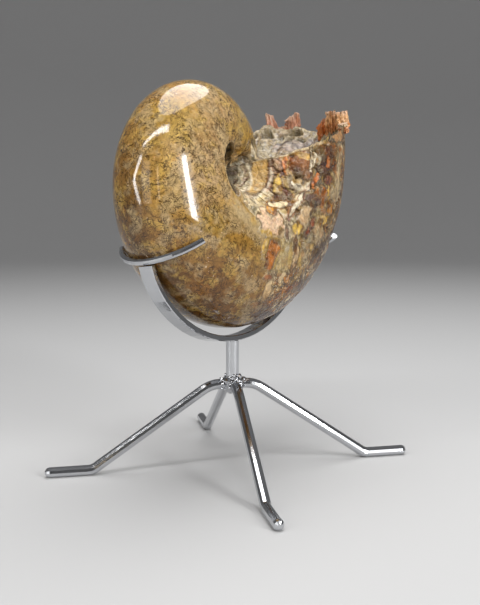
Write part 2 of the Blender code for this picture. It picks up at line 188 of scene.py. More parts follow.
OCHRE = (0.36, 0.215, 0.058)
OLIVE_YELLOW = (0.35, 0.235, 0.05)
ORANGE_OCHRE = (0.38, 0.185, 0.042)
BRIGHT_OCHRE = (0.5, 0.335, 0.085)
WARM_OCHRE = (0.4, 0.165, 0.03)
DULL_BROWN = (0.2, 0.095, 0.022)
RED_BROWN = (0.125, 0.045, 0.01)
SHADE_BROWN = (0.14, 0.068, 0.018)
DEEP_BROWN = (0.19, 0.092, 0.022)
GREY_TAN = (0.4, 0.31, 0.18)
PINK_TAN = (0.44, 0.31, 0.18)
PALE_TAN = (0.46, 0.36, 0.22)
SANDY = (0.47, 0.35, 0.15)
GREY_OLIVE = (0.22, 0.19, 0.12)
CREAM = (0.66, 0.54, 0.35)
WHITE = (0.78, 0.7, 0.54)
YELLOW = (0.48, 0.31, 0.06)
GOLD = (0.42, 0.26, 0.08)
AMBER = (0.36, 0.15, 0.008)
DARK_AMBER = (0.33, 0.1, 0.006)
BRICK = (0.25, 0.085, 0.028)
DARK_RED = (0.14, 0.034, 0.016)
POD_BROWN = (0.15, 0.048, 0.01)
POD_DARK = (0.065, 0.017, 0.006)
OLIVE_SHADE = (0.055, 0.042, 0.016)
ORANGE_RED = (0.48, 0.14, 0.028)
RUST = (0.82, 0.46, 0.21)
ROSE = (0.46, 0.215, 0.135)
PINK = (0.54, 0.37, 0.26)
UMBER = (0.07, 0.035, 0.016)
# painted shadow, laid in the slot, the small end's edge by it, the umbilici and the septum's
# hollows
PAINTED_SHADOW = (0.012, 0.008, 0.005)
NACRE = (0.34, 0.25, 0.19)
NACRE_PALE = (0.6, 0.46, 0.37)
NACRE_DARK = (0.1, 0.062, 0.05)
OLIVE_HOLLOW = (0.14, 0.092, 0.022)
SEPTUM_CREAM = (0.6, 0.48, 0.25)
SUTURE_DARK = (0.035, 0.015, 0.005)
PAINTED_GLINT_FLECK = (0.8, 0.66, 0.55)
AMBER_CELL = (0.4, 0.15, 0.02)
CREAM_CELL = (0.58, 0.46, 0.28)
DARK_CELL = (0.07, 0.035, 0.014)
WALL_CREAM = (0.7, 0.59, 0.4)
CREVICE_DARK = (0.035, 0.018, 0.009)
PAINTED_GLINT = (0.88, 0.82, 0.68)
CALCITE_PALE = (0.62, 0.42, 0.28)
CALCITE_DARK = (0.1, 0.03, 0.012)
CHROME = (0.62, 0.63, 0.65)
CHROME_DULL = (0.5, 0.51, 0.53)
CHROME_SPOT = (0.22, 0.21, 0.2)


# ---------------- the shell's spiral
def radius_at(turn):
    share = turn / LAST_TURN - 1
    return END_RADIUS * np.exp(RADIUS_GROWTH * share - RADIUS_SAG * share * (share + 1))


def half_breadth_at(turn):
    return END_HALF_BREADTH * BREADTH_GROWTH ** (turn / LAST_TURN - 1)


def outward_at(turn):
    angle = np.radians(END_TILT + turn)[..., None]
    return IN_PLANE * np.cos(angle) + PLANE_UP * np.sin(angle)


def forward_at(turn):
    angle = np.radians(END_TILT + turn)[..., None]
    return PLANE_UP * np.cos(angle) - IN_PLANE * np.sin(angle)


def rounded(value):
    return np.copysign(np.abs(value) ** SECTION_ROUNDING, value)


def shell_point(turn, side):
    angle = side * SECTION_WRAP
    reach = rounded(np.cos(angle))
    spread = np.where(reach > 0, 1 - SECTION_MIDDLE, SECTION_MIDDLE - UMBILICUS)
    out = outward_at(turn) * (radius_at(turn) * (SECTION_MIDDLE + reach * spread))[..., None]
    inner = ramp(np.abs(side), PINCH_FROM, PINCH_EDGE)
    width = rounded(np.sin(angle)) * (1 - PINCH * smooth(1 - turn / PINCH_SPAN) * inner)
    return COIL_CENTRE + out + AXIS * (half_breadth_at(turn) * width)[..., None]


def unit(vectors):
    return vectors / np.linalg.norm(vectors, axis=-1, keepdims=True)


def shell_normal(turn, side):
    along = shell_point(turn + 0.5, side) - shell_point(turn - 0.5, side)
    across = shell_point(turn, side + 0.005) - shell_point(turn, side - 0.005)
    return unit(np.cross(along, across))


def smooth(value):
    share = np.clip(value, 0.0, 1.0)
    return share * share * (3 - 2 * share)


def ramp(value, start, span):
    """0 up to the start, rising to 1 a span further on, or further back for a negative span."""
    return smooth((value - start) / span)


def noise_at(*coordinates):
    """Smooth noise, about -0.5 to 0.5, with features one unit across."""
    spots = np.stack(np.broadcast_arrays(*coordinates), axis=-1)
    values = [noise.noise(Vector(spot)) for spot in spots.reshape(-1, 3).tolist()]
    return np.array(values).reshape(spots.shape[:-1])


def noise_in(points, size, seed=0.0):
    return noise_at(*np.moveaxis(points / size + seed, -1, 0))


def bell(value, centre, span, power=2):
    """1 at the centre, falling off smoothly over the span."""
    return np.exp(-((value - centre) / span) ** power)


def filled(points, colour):
    return np.zeros(points.shape) + np.array(colour)


def mix(first, second, weight):
    return first + (np.asarray(second) - first) * weight[..., None]


def paint(tint, *coats):
    """Coats laid over each other in turn: each a colour, and how much of it there is."""
    for colour, amount in coats:
        tint = mix(tint, colour, amount)
    return tint


def paint_shade(tint, shade, amount):
    """Painted shade: the colours multiplied by a shade, as far as the amount says."""
    return tint * (1 - (1 - np.array(shade)) * amount[..., None])


def away_from(points, turn, side, radius, wander, size):
    """How far each point is from a place on the shell, as a share of a wavering radius."""
    away = np.linalg.norm(points - shell_point(turn, side), axis=-1) / (radius * MM)
    return away + wander * noise_in(points, size, seed=turn)


# ---------------- the relief of the open chambers
def opening_line(side):
    wander = 2.5 * noise_at(side * 6.0, 0.0, 4.0)
    early = EARLY_OPENING * ramp(side, EARLY_SIDE, 0.04)
    return EXPOSED_FROM - EXPOSED_SWEEP * np.abs(side) ** 1.6 - early + wander


def chamber_rows(turn, side):
    """Which chamber a place is in, how far along it, and how near a finger's crown."""
    swing = SUTURE_SWING * np.sin(2 * pi * FINGERS * np.abs(side) * 0.5) ** 2
    place = (turn - EXPOSED_FROM + swing) / CHAMBER_PITCH
    row = np.floor(place)
    shift = FINGER_STAGGER * (row % 2)
    finger = np.abs(np.cos(pi * (FINGERS * np.abs(side) + shift)))
    return row, place - row, finger, np.round(FINGERS * side + shift)


def rim_rise(turn, side):
    """How far the broken rim stands forward of its plane, in degrees."""
    near_end = ramp(turn, LAST_TURN - RIM_ZONE, RIM_ZONE)
    lobe = RIM_LOBE_RISE * np.abs(np.sin(pi * RIM_LOBES * side))
    far = FAR_RIM_RISE * smooth(-side / FAR_RIM_SPAN)
    nibble = 0.9 * noise_at(side * 40.0, 1.0, 2.0) + 1.6 * noise_at(side * 14.0, 5.0, 2.0)
    dip = sum(deep * bell(side, at, span) for deep, at, span in RIM_DIPS)
    return near_end * (lobe + far + nibble - dip) * (1 - np.abs(side) ** 6)


# Things in the laid-open flank that faces the viewer.  Each is an ellipse on the surface: turn,
# side, half its length and half its width in millimetres, the angle of its length from the
# direction of growth, its height above its surroundings in millimetres, colour, colour of its edge.
LUMP, PIT, CAST, FLAT = "lump", "pit", "cast", "flat"
DEEPENING = {LUMP: 0.9, PIT: 0.9, CAST: 0.3, FLAT: 0.45}  # how far each darkens inside
FEATURES = (
    (FLAT, 301, 0.35, 25, 4.5, -9, 0.0, UMBER, None),
    (FLAT, 286, 0.27, 22, 4.0, -6, 0.0, UMBER, None),
    (FLAT, 260, 0.2, 14, 7.0, -29, 0.0, SHADE_BROWN, None),
    (FLAT, 257, 0.6, 12.5, 10.0, 10, 0.6, PINK, CREAM),
    (FLAT, 249, 0.52, 7, 2.0, 2, 0.4, YELLOW, None),
    (FLAT, 300, 0.53, 9, 7.0, 0, 0.3, PINK_TAN, SHADE_BROWN),
    (PIT, 275, 0.53, 9.5, 3.6, 76, 1.6, NACRE_DARK, WHITE),
    (PIT, 296, 0.72, 7, 4.5, -10, 2.6, UMBER, AMBER),
    (LUMP, 266, 0.68, 6.5, 4.5, 37, 0.8, AMBER, CREAM),
    (LUMP, 286, 0.515, 7.5, 5.4, -33, 0.8, YELLOW, CREAM),
    (PIT, 314, 0.525, 8, 5.0, -53, 1.4, NACRE_DARK, GREY_OLIVE),
    (LUMP, 310, 0.445, 10, 4.6, -53, 0.9, YELLOW, SANDY),
    (LUMP, 320, 0.425, 9, 5.0, -69, 1.2, AMBER, SANDY),
    (PIT, 298, 0.48, 10.5, 3.8, 9, 1.2, DARK_RED, SANDY),
    (FLAT, 248, 0.475, 7.0, 3.2, 80, 0.3, YELLOW, None),
    (PIT, 254, 0.448, 12.5, 6.0, 86, 0.9, DARK_AMBER, YELLOW),
    (FLAT, 294, 0.41, 4, 3.4, 0, 0.3, YELLOW, SANDY),
    (PIT, 279, 0.465, 6, 2.4, 65, 0.8, UMBER, CREAM),
    (LUMP, 277, 0.42, 8, 2.8, 62, 0.8, PINK_TAN, UMBER),
    (FLAT, 256, 0.3, 9.5, 4.0, -85, 0.3, CREAM, SANDY),
    (FLAT, 254, 0.365, 5, 2.2, 0, 0.3, BRICK, CREAM),
    (LUMP, 316, 0.79, 9.0, 4.4, 27, 1.2, YELLOW, DARK_RED),
    (LUMP, 324, 0.735, 10.5, 4.6, 23, 1.4, GOLD, DARK_RED),
    (FLAT, 327, 0.845, 15, 2.4, 14, 0.3, ROSE, None),
    (CAST, 326, 0.895, 19.0, 7.2, 12, 1.6, GOLD, WHITE),
    (LUMP, 347, 0.805, 7, 5.5, -76, 2.2, PINK, BRICK),
    (LUMP, 343, 0.765, 8.5, 4.2, 40, 1.6, ORANGE_RED, DARK_RED),
    (LUMP, 323, 0.655, 9, 6.5, -55, 1.4, WHITE, SANDY),
    (LUMP, 323.5, 0.68, 3.6, 3.4, 0, 2.2, WHITE, GREY_OLIVE),
    (PIT, 330, 0.57, 7.5, 2.6, 10, 1.0, ORANGE_RED, UMBER),
    (PIT, 332, 0.53, 7.5, 1.8, 10, 1.0, UMBER, CREAM),
    (LUMP, 334, 0.49, 8, 3.6, -74, 1.0, DARK_RED, YELLOW),
    (LUMP, 325, 0.47, 8, 2.6, 10, 0.8, YELLOW, UMBER),
    (LUMP, 306, 0.63, 5, 4.0, 3, 0.9, CREAM, SANDY),
    # a raised streak whose white is a painted highlight
    (LUMP, 300, 0.62, 13, 2.4, 9, 1.3, WHITE, ROSE),
    (LUMP, 282, 0.69, 9, 3.0, -20, 0.9, CREAM, AMBER),
    (LUMP, 347, 0.53, 13, 9.5, 81, 2.4, POD_DARK, UMBER),
    (FLAT, 353, 0.575, 4, 5.0, 0, 0.6, OLIVE_SHADE, None),
    (FLAT, 347, 0.6, 4, 3.5, 0, 0.5, GREY_OLIVE, None),
    (FLAT, 345, 0.52, 6, 2.4, 20, 0.5, ORANGE_RED, None),
    (LUMP, 344, 0.69, 11.5, 9.5, -6, 3.0, POD_BROWN, GOLD),
    (FLAT, 353, 0.7, 2.6, 7.0, -6, 0.3, GOLD, None),
    (LUMP, 345, 0.645, 10.5, 1.3, 5, 3.2, WHITE, UMBER),
    (LUMP, 348, 0.622, 7, 1.1, -8, 3.0, WHITE, None),
    (FLAT, 339, 0.42, 15, 3.5, 11, 0.5, CREAM, None),
    (FLAT, 350, 0.44, 8, 2.0, 4, 0.3, OLIVE_HOLLOW, WHITE),
    (FLAT, 358.5, 0.44, 4.5, 13.0, 0, 0.0, RUST, UMBER),
)
# Broad changes of colour in the polish: turn, side, radius in millimetres, colour, strength.
# The dark red-brown clouds low on the shell are partly the stone's own colour and partly painted
# shade.
CLOUDS = (
    (104, 0.36, 34, PINK_TAN, 0.75), (120, 0.02, 30, ORANGE_OCHRE, 0.6),
    (150, 0.42, 26, PINK_TAN, 0.8), (170, 0.42, 26, PINK_TAN, 0.95),
    (140, 0.2, 26, OLIVE_YELLOW, 0.7), (163, -0.07, 26, DEEP_BROWN, 0.75),
    (150, -0.4, 50, DEEP_BROWN, 0.6), (186, -0.05, 26, SHADE_BROWN, 0.85),
    (197, 0.12, 20, DEEP_BROWN, 0.7), (209, 0.03, 24, RED_BROWN, 0.9),
    (218, 0.42, 28, OCHRE, 0.5), (222, 0.26, 26, DEEP_BROWN, 0.6),
    (240, 0.12, 34, DEEP_BROWN, 0.8), (246, 0.02, 26, RED_BROWN, 0.8),
    (232, 0.00, 26, RED_BROWN, 0.9), (252, 0.2, 20, DEEP_BROWN, 0.6),
    (215, -0.45, 60, DEEP_BROWN, 0.7), (240, -0.3, 50, RED_BROWN, 0.6),
    (60, -0.2, 40, ORANGE_OCHRE, 0.5), (40, 0.4, 30, OLIVE_YELLOW, 0.5),
    (90, -0.6, 40, OLIVE_YELLOW, 0.5), (199, 0.36, 16, OLIVE_YELLOW, 0.5),
)
# Broad painted shade over patches of the surface: turn, side, radius in millimetres, what the
# colour is multiplied by.
PAINTED_SHADES = (
    (209, 0.03, 24, (0.32, 0.2, 0.06)), (190, -0.1, 26, (0.5, 0.4, 0.2)),
    (235, 0.00, 32, (0.44, 0.3, 0.1)), (228, 0.2, 28, (0.72, 0.62, 0.35)),
    (222, 0.38, 28, (0.8, 0.72, 0.5)), (245, 0.42, 22, (0.75, 0.7, 0.6)),
    (262, 0.12, 34, (0.26, 0.17, 0.09)), (290, 0.24, 34, (0.32, 0.23, 0.14)),
    (318, 0.26, 26, (0.52, 0.42, 0.28)), (342, 0.32, 14, (0.7, 0.58, 0.42)),
    (165, -0.12, 30, (0.82, 0.78, 0.7)),
)
# Colours that the rest of the chambers' fingers take, in turn and by chance
FINGER_COLOURS = (SANDY, CREAM, SANDY, GREY_OLIVE, CREAM, YELLOW, AMBER, BRICK, DARK_AMBER, PINK,
                  SANDY, PALE_TAN, GOLD)


def feature_axes(at, side):
    """A feature's centre on the shell, and the directions out of it, forward and across."""
    centre, normal = shell_point(at, side), shell_normal(at, side)
    forward = unit(shell_point(at + 0.5, side) - shell_point(at - 0.5, side))
    across = np.cross(normal, forward)
    if across @ (shell_point(at, side + 0.01) - centre) < 0:
        across = -across
    return centre, normal, forward, across


def feature_depth(kind, deep, reach, height, slimmer, here, seed):
    """The depth at a feature: a lump or a pit with soft banks, a cast's dish, or a flat patch."""
    bank = smooth((1.1 - reach) / min(0.9, max(0.16, STEEPEST / slimmer)))
    bulge = np.sqrt(np.clip(1 - reach ** 2, 0, 1))
    level = CHAMBER_DEPTH * 0.5
    if kind == LUMP:
        lumpy = height * (bulge + 0.5 * noise_in(here, 0.0035, seed + 9))
        return deep + bank * (level - lumpy - deep) + height * 0.4 * bell(reach, 1.08, 0.16)
    if kind == PIT:
        return deep + bank * (level * 0.7 + height * bulge - deep)
    if kind == CAST:
        return deep + bank * (level + height * (0.2 + 0.6 * bulge) - deep)
    return deep + bank * (level * 0.7 - height - deep) * 0.8


def feature_colour(kind, colour, width, away, here, seed):
    """A crystal's colour: light and dark by chance, with painted shade on its side away from the
    lamps.
    """
    tone = noise_in(here, max(0.0042, width * 0.9 * MM), seed + 5)
    # painted shade: darker on the side away from the lamps
    tone = tone + SHADOWED * np.clip((away @ SHADOW_SIDE) / (width * 1.5 * MM), -1, 1)
    full = np.array(colour) * min(VIVID, BRIGHTEST / max(colour))
    darkens = DEEPENING[kind] * (OPAQUE if max(colour) > 0.5 else 1.0)
    inner = mix(filled(here, full), np.array(colour) * DEPTHS,
                ramp(tone, -0.04, 0.24) * darkens)
    # cream crumbs, partly painted glints
    crumbs = noise_in(here, 0.0034, seed + 15)
    return mix(inner, CREAM, ramp(crumbs, 0.24, 0.12) * min(0.45, max(colour)))


def place_features(points, normals, depth, tint):
    covered = np.zeros(depth.shape)
    for kind, at, side, length, width, twist, height, colour, edge in FEATURES:
        centre, normal, forward, across = feature_axes(at, side)
        away = points - centre
        near = np.linalg.norm(away, axis=-1) < max(length, width) * 2.2 * MM
        near &= (normals @ normal > 0.2) & (np.abs(away @ normal) < 0.02)
        if not near.any():
            continue
        here, away, look = points[near], away[near], tint[near]

        angle, slimmer = radians(twist), min(length, width)
        along = away @ (forward * cos(angle) + across * sin(angle))
        aside = away @ (across * cos(angle) - forward * sin(angle))
        ragged = 0.5 * noise_in(here, 0.007, at) + 0.22 * noise_in(here, 0.0028, at)
        ragged = 1 + ragged * (0.25 if kind == CAST else 1.0)
        reach = np.hypot(along / (length * MM), aside / (width * MM)) * ragged
        if edge is not None:
            line = min(0.2, max(0.07, THINNEST / slimmer))
            look = paint(look, (edge, bell(reach, 1.22, 0.16) * 0.85),
                         (UMBER, bell(reach, 1.03, line) * 0.8))
        inner = feature_colour(kind, colour, width, away, here, at)
        tint[near] = mix(look, inner, ramp(reach, 1.0, -0.16) * 0.92)
        depth[near] = feature_depth(kind, depth[near], reach, height * MM, slimmer, here, at)
        covered[near] = np.maximum(covered[near], ramp(reach, 1.35, -0.2))
    return depth, tint, covered


def chambers(turn, side, points):
    """The laid-open chambers: rows of calcite fingers, thin walls and crevices."""
    warp_turn = turn + 3.0 * noise_in(points, 0.018) + 1.2 * noise_in(points, 0.006, 7.0)
    warp_side = side + 0.03 * noise_in(points, 0.02, 3.0)
    row, along, finger, number = chamber_rows(warp_turn, warp_side)
    slope = ramp(along, 1, -LEDGE_SHARE) * (0.55 + 0.45 * along)
    pillow = slope * (0.35 + 0.65 * np.sqrt(finger))
    crumble = noise_at(turn * 0.17, side * 9.0, row * 3.1)
    depth = CHAMBER_DEPTH * (1 - pillow) + PIT_DEPTH * np.maximum(0.0, crumble)

    chance = np.sin(row * 12.9898 + number * 78.233) * 43758.5453
    pick = np.floor((chance - np.floor(chance)) * len(FINGER_COLOURS)).astype(int)
    sandy = ramp(turn, 300, -40) * smooth(noise_in(points, 0.02, 11.0) + 0.9)
    return depth, paint(
        np.array(FINGER_COLOURS)[pick], (CREAM, smooth(0.75 - finger) * 0.6),
        (UMBER, ramp(finger, 0.3, -0.2) * 0.75), (CREAM, ramp(along, 0.78, 0.1) * 0.5),
        (UMBER, ramp(along, 0.93, 0.05) * 0.8),
        (UMBER, ramp(crumble, 0.15, 0.2) * 0.7), (SANDY, sandy * 0.75))


def striped(tint, turn, side, points):
    """The chambers seen edge on, round the rim: long stripes, dark, cream, amber and yellow."""
    rim = smooth((0.42 + 0.1 * ramp(turn, 330, 10) - np.abs(side)) / 0.1)
    rim = rim * ramp(side, -0.25, 0.1)
    far = smooth((-0.12 - side) / 0.15)
    stripes = noise_at(side * 60.0, turn * 0.05, 3.0)
    warm = noise_at(side * 26.0, turn * 0.07, 13.0) + 0.5 * noise_in(points, 0.006, 17.0)
    return paint(
        tint * (1 + FAR_BRIGHTER * far[..., None]),
        (UMBER, ramp(stripes, 0.03, 0.12) * rim * 0.85),
        (CREAM, ramp(-stripes, 0.06, 0.12) * rim * 0.6),
        (DARK_AMBER, ramp(warm, 0.08, 0.1) * rim * 0.75),
        (YELLOW, ramp(-warm, 0.2, 0.1) * rim * 0.5),
        (PALE_TAN, smooth((opening_line(side) + 7 - turn) / 6) * 0.7))


def chamber_gain(turn, side):
    """How much of the chambers' depth is kept."""
    gain = FLUSH_SHARE + (1 - FLUSH_SHARE) * ramp(turn, EXPOSED_FROM, FLUSH_SPAN)
    gain = gain * (1 - SHOULDER_FILL * bell(side, SHOULDER_AT, SHOULDER_SPAN))
    gain = gain * (1 - (1 - RIM_RELIEF) * smooth(1 - (LAST_TURN - turn) / RIM_RELIEF_SPAN))
    return gain * (1 - np.abs(side) ** 8)


def smooth_band(turn, side):
    """The plain tan band between the polish and the chambers."""
    band = ramp(turn, 198, 8) * bell(side, 0.53, 0.035, 4) * ramp(turn, 253, -5)
    edging = smooth((turn - opening_line(side) + 7) / 5) * ramp(side, 0.36, 0.06)
    return np.maximum(band, edging * 0.7)


def small_end(turn, side, points, mottle):
    """The broken stone past the small end's polish: where it is, its colour and its depth."""
    coarse = noise_in(points, 0.009, 23.0)
    stops = SMALL_END + SMALL_END_SWEEP * np.clip(side - 0.5, 0.0, 0.35)
    stops = np.where(side < SMALL_END_EDGE, SMALL_END_OUTER, stops) + 12 * mottle
    broken = smooth((stops - turn) / 3) * ramp(side, 0.3, 0.04)
    # painted shadow along its edge beside the slot; its white patches are partly painted glints
    deep = ramp(side, 0.605, 0.03) * ramp(side, 0.74, -0.05)
    stone = paint(filled(points, CREAM), (GREY_OLIVE, smooth(mottle / 0.2)),
                  (WHITE, ramp(-mottle, 0.12, 0.12)),
                  (UMBER, ramp(coarse, 0.22, 0.1) * 0.5), (PAINTED_SHADOW, deep))
    return broken, stone, broken * (0.0012 + 0.002 * coarse)


def umbilical_slot(turn, side):
    """A drop along the outer whorl beside the near umbilicus, painted in shadow, and its thin pale
    lip.
    """
    edge = SLOT_EDGE + ((turn - SLOT_AT) / np.where(turn < SLOT_AT, 234.0, 120.0)) ** 2
    along = ramp(turn, 55, 12) * ramp(turn, 212, -12)
    edge = edge + 0.012 * noise_at(turn * 0.12, 3.0, 6.0)
    return smooth((side - edge) / SLOT_LIP) * along, bell(side - edge, -0.004, 0.006) * along


def streaks(turn, side, points, mottle):
    """The streaked stone round the umbilici: where it is, its line's place, layers and colour."""
    line_side = STREAKS_FROM - STREAKS_SPREAD * (340 - turn)
    funnel = smooth((np.abs(side) - line_side) / 0.012) * ramp(turn, 230, 20)
    layers = noise_at(side * 62.0, turn * 0.03, 9.0) + 0.5 * mottle
    streak = paint(filled(points, CREAM), (NACRE_PALE, smooth(layers / 0.2)),
                   (WHITE, ramp(-layers, 0.08, 0.1)),
                   (UMBER, ramp(layers, 0.34, 0.1) * 0.9))
    line = bell(side, line_side, STREAKS_LINE) * ramp(turn, 268, 8)
    return funnel, line, layers, streak


def shell_surface(turn, side):
    """The polished flanks and the laid-open chambers: points and what the material reads."""
    place = turn + rim_rise(turn, side)
    points, normals = shell_point(place, side), shell_normal(place, side)
    mottle = noise_in(points, 0.004, 21.0)

    depth, tint = chambers(turn, side, points)
    tint = striped(tint, turn, side, points)
    depth, tint, covered = place_features(points, normals, depth, tint)
    rim = ramp(turn, 357.2, 1.2) * ramp(side, 0.54, 0.03)
    tint = mix(tint, CREAM, rim * 0.85)
    depth = depth + 0.0005 * noise_in(points, 0.0035, 2.0)
    creamy = ramp(side, 0.56, 0.03) * ramp(turn, 256, -8)
    cream = mix(filled(points, CREAM), GREY_OLIVE, smooth(noise_in(points, 0.005, 31.0) / 0.2))
    tint = mix(tint, cream, creamy * (1 - covered) * 0.85)

    polish = filled(points, OCHRE)
    for at, where, radius, colour, strength in CLOUDS:
        away = away_from(points, at, where, radius, 0.5, 0.012)
        polish = mix(polish, colour, smooth(1.25 - away) * strength)
    band = smooth_band(turn, side)
    polish = mix(polish, PALE_TAN, band * 0.85)
    exposed = np.maximum(smooth((turn - opening_line(side)) / EXPOSED_EDGE), covered)
    tint = mix(polish, tint, exposed)
    depth = depth * exposed * chamber_gain(turn, side)
    # painted shade over broad patches of the surface
    for at, where, radius, shade in PAINTED_SHADES:
        away = away_from(points, at, where, radius, 0.4, 0.015)
        tint = paint_shade(tint, shade, smooth(1.3 - away))

    broken, stone, broken_depth = small_end(turn, side, points, mottle)
    slot, lip = umbilical_slot(turn, side)
    funnel, line, layers, streak = streaks(turn, side, points, mottle)
    # painted shadow in the slot and at the umbilici's inner edge
    tint = paint(
        tint, (stone, broken), (CREAM, lip * 0.6), (PAINTED_SHADOW, slot),
        (GREY_OLIVE, slot * smooth(mottle / 0.15 - 0.8) * 0.6), (streak, funnel * 0.92),
        (PAINTED_SHADOW, funnel * ramp(np.abs(side), 0.985, 0.01) * 0.5), (WHITE, line * 0.9))
    depth = depth + broken_depth + SLOT_DEPTH * slot
    depth = depth + STREAKS_DEPTH * layers * funnel - STREAKS_LINE_RISE * line
    exposed = np.maximum(exposed, np.maximum(broken, slot))

    # painted shade where the surface faces down
    tint = paint_shade(tint, DOWNWARD_PAINTED_SHADE, ramp(-normals[..., 2], 0.05, 0.5))
    # painted shade where the laid-open stone faces right
    tint = paint_shade(tint, RIGHTWARD_PAINTED_SHADE, ramp(normals[..., 0], 0.72, 0.2) * exposed)
    plain = np.maximum(band * 0.9, covered * 0.75)
    plain = np.maximum(plain, np.maximum(slot, 0.8 * np.maximum(broken, funnel)))
    return points - normals * depth[..., None], tint, exposed, plain


# Hollows in the septum under its far rim: side, share of the way in, half their width in side and
# half their height in share, depth in metres.
HOLLOWS = (
    (-0.222, 0.045, 0.015, 0.036, 0.004), (-0.172, 0.082, 0.032, 0.056, 0.009),
    (-0.054, 0.052, 0.042, 0.04, 0.009), (-0.062, 0.122, 0.026, 0.032, 0.003),
    (-0.008, 0.112, 0.024, 0.03, 0.003), (-0.108, 0.085, 0.016, 0.04, 0.002),
    (-0.29, 0.06, 0.035, 0.05, 0.004), (-0.38, 0.07, 0.04, 0.06, 0.004),
    (-0.48, 0.06, 0.035, 0.05, 0.004), (-0.59, 0.08, 0.04, 0.07, 0.004),
    (0.2, 0.07, 0.04, 0.05, 0.004), (0.33, 0.08, 0.04, 0.06, 0.004),
    (0.46, 0.07, 0.035, 0.05, 0.004), (0.6, 0.08, 0.04, 0.06, 0.004),
)


def septum_colours(share, side, points, folds):
    """Layers that run across the septum in long waves: grey and purple, and cream to the left."""
    fine = noise_at(side * 70.0, share * 45.0, 6.0)
    across = share - LAYER_SLOPE * side + 0.055 * noise_at(side * 7.0, share * 4.0, 8.0)
    broad = noise_at(side * 3.0, across * 18.0, 8.0)
    strength = smooth(noise_at(side * 11.0, across * 24.0, 15.0) + 0.6)
    thin = np.sin(2 * pi * (across * LAYERS + 0.8 * noise_at(side * 6.0, across * 5.0, 12.0)))
    creamy = smooth((-side - 0.165 + 0.3 * folds) / 0.05) + ramp(share, 0.27, 0.05)
    creamy = np.clip(creamy + smooth((0.12 - share + 0.1 * folds) / 0.04), 0, 1)
    return paint(
        filled(points, NACRE), (NACRE_PALE, ramp(broad, 0.02, 0.1)),
        (NACRE_DARK, ramp(-broad, 0.12, 0.12) * 0.8), (SEPTUM_CREAM, creamy * 0.85),
        (PINK, ramp(share, 0.22, 0.06) * ramp(side, -0.12, 0.05) * 0.5),
        (NACRE_DARK, ramp(thin, 0.45, 0.4) * strength * (1 - 0.5 * creamy)),
        (WHITE, ramp(-thin, 0.7, 0.25) * strength * 0.5),
        (GREY_OLIVE, ramp(fine, 0.05, 0.12) * creamy * 0.6),
        (UMBER, ramp(fine, 0.22, 0.1) * 0.5))


def septum_surface(share, side, edge, inner):
    """The dished last septum: waves across it, and hollows along its rim."""
    flat = edge + (inner - edge) * share[..., None]
    tuck = SEPTUM_TUCK * np.sin(pi * share) * np.abs(side) ** 6 * (1 - np.abs(side) ** 16)
    flat = flat + outward_at(LAST_TURN) * tuck[..., None]
    folds = noise_at(side * 9.0, share * 10.0, 1.0)
    ripple = noise_at(side * 26.0, share * 22.0, 4.0)
    dish = SEPTUM_DEPTH * np.sin(pi * share) ** 0.8
    dish = dish + (0.0035 * folds + 0.0016 * ripple) * np.sin(pi * share)
    tint = septum_colours(share, side, flat, folds)
    for at, inward, wide, tall, deep in HOLLOWS:
        reach = np.hypot((side - at) / wide, (share - inward) / tall) * (1 + 0.3 * ripple)
        inside = ramp(reach, 1.0, -0.3)
        dish = dish + deep * inside
        # painted shadow in the deeper hollows, more the deeper they are
        dark = smooth((0.7 - reach + ripple) / 0.3) * min(0.8, deep * 110)
        tint = paint(tint, (CREAM, bell(reach, 1.14, 0.13) * 0.95), (OLIVE_HOLLOW, inside),
                     (PAINTED_SHADOW, dark))
    tint = mix(tint, CREAM, ramp(share, 0.018, -0.01) * 0.8)
    dish = dish * (1 - np.abs(side) ** SEPTUM_FADE)
    points = flat - forward_at(LAST_TURN) * dish[..., None]
    return points, tint * SEPTUM_SHADE, np.ones(share.shape), np.full(share.shape, SEPTUM_PLAIN)


# ---------------- meshes
def from_bmesh(bm, name, material, sharp):
    bmesh.ops.recalc_face_normals(bm, faces=bm.faces)
    mesh = bpy.data.meshes.new(name)
    bm.to_mesh(mesh)
    bm.free()
    mesh.materials.append(material)
    mesh.shade_smooth()
    mesh.set_sharp_from_angle(angle=radians(sharp))
    piece = bpy.data.objects.new(name, mesh)
    bpy.context.collection.objects.link(piece)
    return piece


def set_attribute(piece, name, kind, values, tips):
    """A number, a place or a colour for each vertex: the rings', and then the tips'."""
    width = 1 if kind == "FLOAT" else 3
    values = np.concatenate([values.reshape(-1, width), np.reshape(tips, (-1, width))])
    if kind == "FLOAT_COLOR":
        values = np.insert(values, 3, 1.0, axis=1)
    layer = piece.data.attributes.new(name, kind, "POINT")
    field = {"FLOAT": "value", "FLOAT_VECTOR": "vector", "FLOAT_COLOR": "color"}[kind]
    layer.data.foreach_set(field, values.astype(np.float32).ravel())


def add_rings(bm, rings):
    """Rings of vertices, and faces from each ring to the next."""
    made = [[bm.verts.new(place) for place in ring] for ring in rings]
    for ring, following in zip(made, made[1:]):
        for index in range(len(ring)):
            after = (index + 1) % len(ring)
            bm.faces.new((ring[index], ring[after], following[after], following[index]))
    return made


def add_tip(bm, ring, place):
    """A vertex at the place, and faces from it to the ring."""
    tip = bm.verts.new(place.tolist())
    for index in range(len(ring)):
        bm.faces.new((ring[index], ring[(index + 1) % len(ring)], tip))


def umbilicus(edge, floor):
    """Columns from a flank's inner edge down to the umbilicus's floor, like the shell's surface."""
    inward = np.arange(1, UMBILICUS_COLUMNS + 1) / (UMBILICUS_COLUMNS + 1)
    down = floor - edge[:, None]
    drop = down @ AXIS * (inward ** 0.5 - inward)
    points = edge[:, None] + down * inward[:, None] + AXIS * drop[..., None]
    # the umbilicus's walls are painted shadow
    return points, filled(points, PAINTED_SHADOW), np.ones(drop.shape), np.ones(drop.shape)


